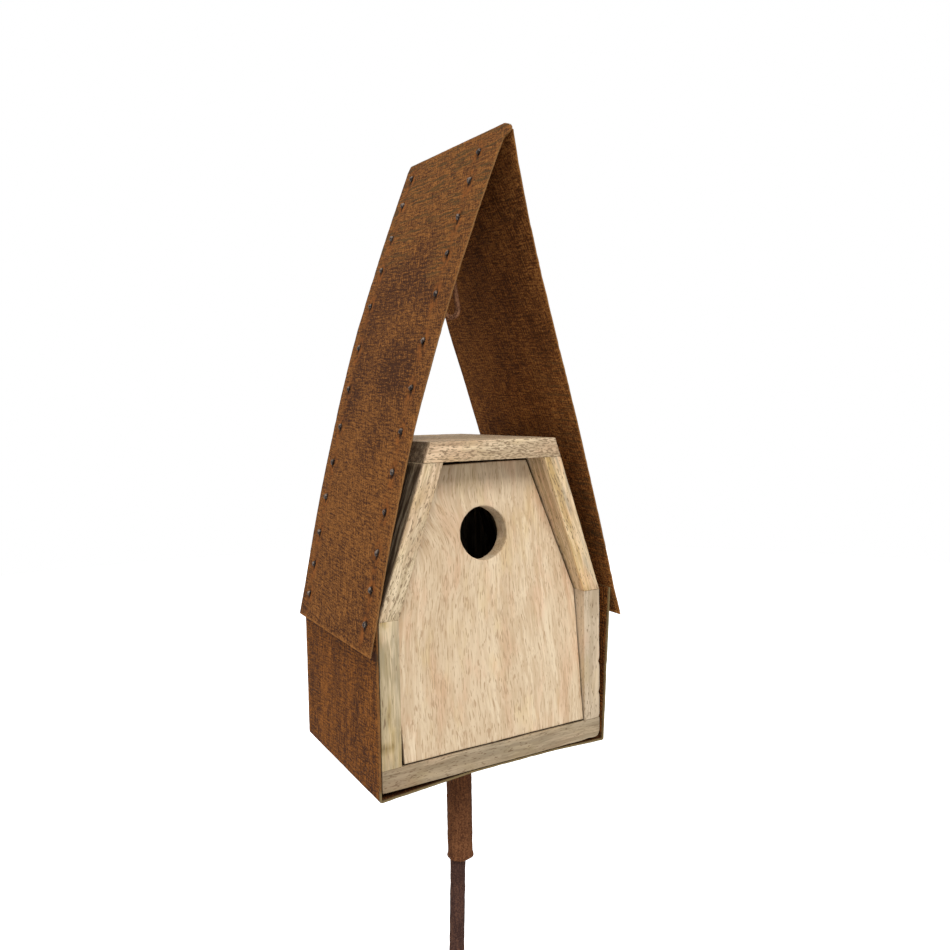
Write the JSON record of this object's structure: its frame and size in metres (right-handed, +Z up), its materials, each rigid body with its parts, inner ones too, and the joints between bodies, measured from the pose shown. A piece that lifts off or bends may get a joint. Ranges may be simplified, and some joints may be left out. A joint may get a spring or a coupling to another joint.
{
  "type": "nest box on a pole",
  "caption": "Wooden nest box with a leaning front and round entrance, in a rusted sheet tray under a steep roof of two bowed sheets, on a slim pole.",
  "frame": {"origin": "centre of the pole's foot, on the ground", "axes": "+X to the right seen from the entrance, +Y to the back, +Z up"},
  "size_m": [0.1719, 0.141, 1.2744],
  "materials": {
    "board": "unpainted, matte, open pores",
    "panel": "unpainted, matte, fine vertical grain",
    "rusty_sheet": "rusted, matte",
    "rusty_rod": "dark rust, matte",
    "nail": "dark, slightly glossy"
  },
  "bodies": {
    "root": {"bottom_board": "board", "left_side_board": "board", "right_side_board": "board", "left_slope_board": "board", "right_slope_board": "board", "top_board": "board", "front_panel": "panel", "back_panel": "board", "tray": "rusty_sheet", "tray_screws": "nail", "roof_left_sheet": "rusty_sheet", "roof_right_sheet": "rusty_sheet", "left_front_nails": "nail", "left_back_nails": "nail", "right_front_nails": "nail", "right_back_nails": "nail", "hanging_loop": "rusty_rod", "sleeve": "rusty_rod", "sleeve_weld": "rusty_rod", "pole": "rusty_rod"}
  },
  "joints": []
}
